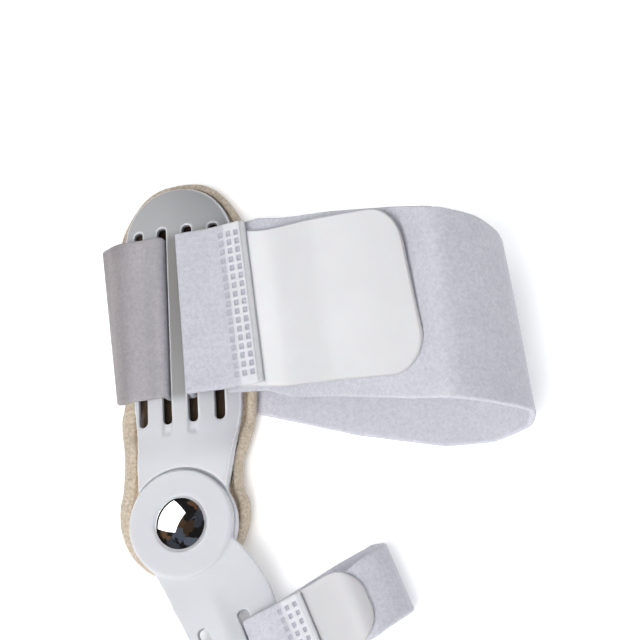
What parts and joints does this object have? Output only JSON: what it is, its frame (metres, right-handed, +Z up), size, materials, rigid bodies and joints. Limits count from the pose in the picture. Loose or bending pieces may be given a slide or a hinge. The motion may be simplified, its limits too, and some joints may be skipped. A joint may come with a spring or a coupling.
{
  "type": "hinged bunion splint",
  "caption": "Bunion corrector: hinged plastic plates with a soft pad, a wide foot strap loop and a narrow toe strap loop.",
  "frame": {"origin": "middle of the footprint on the table, at the underside of the straps", "axes": "+Z up from the table, along the hub's axis; +Y from the toe end towards the heel end of the foot plate; +X towards the loops' far ends"},
  "size_m": [0.1344, 0.1778, 0.0463],
  "materials": {
    "plate": "smooth satin grey-white plastic",
    "pad": "beige velour cloth over foam",
    "strap": "white brushed loop cloth",
    "tab": "smooth white hook tape back",
    "chrome": "polished"
  },
  "bodies": {
    "foot": {"foot_plate": "plate", "pad": "pad", "main_strap": "strap", "main_tab": "tab", "rivet": "chrome"},
    "toe": {"toe_plate": "plate", "toe_strap": "strap", "toe_tab": "tab"}
  },
  "joints": [
    {"name": "toe_hinge", "type": "hinge", "parent": "foot", "child": "toe", "pos_m": [-0.04132, -0.02121, 0.0139], "axis": [0, 0, 1], "range_deg": [-45, 25]}
  ]
}
